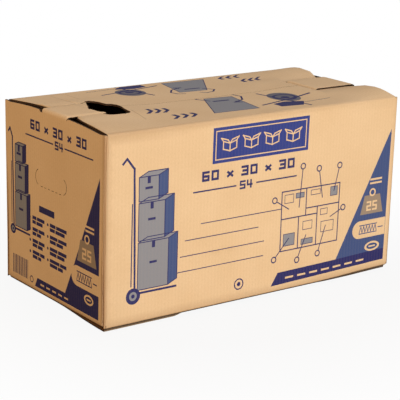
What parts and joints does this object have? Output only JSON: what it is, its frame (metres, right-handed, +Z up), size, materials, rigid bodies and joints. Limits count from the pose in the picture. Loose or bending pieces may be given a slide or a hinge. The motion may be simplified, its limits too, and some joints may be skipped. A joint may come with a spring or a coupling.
{
  "type": "moving carton",
  "caption": "Rectangular corrugated moving carton, closed by a lock flap at each end that folds over the lid and dips into a mouth.",
  "frame": {"origin": "centre of the underside", "axes": "+X along the length towards the right end, the front long wall faces -Y, +Z up"},
  "size_m": [0.606, 0.306, 0.321],
  "materials": {
    "kraft_board": "matte unbleached kraft liner"
  },
  "bodies": {
    "carton": {"carton": "kraft_board"},
    "left_lock_flap": {"left_lock_flap": "kraft_board"},
    "right_lock_flap": {"right_lock_flap": "kraft_board"}
  },
  "joints": [
    {"name": "left_lock_hinge", "type": "hinge", "parent": "carton", "child": "left_lock_flap", "pos_m": [-0.303, 0, 0.3186], "axis": [0, -1, 0], "range_deg": [0, 250]},
    {"name": "right_lock_hinge", "type": "hinge", "parent": "carton", "child": "right_lock_flap", "pos_m": [0.303, 0, 0.3156], "axis": [0, 1, 0], "range_deg": [0, 250]}
  ]
}
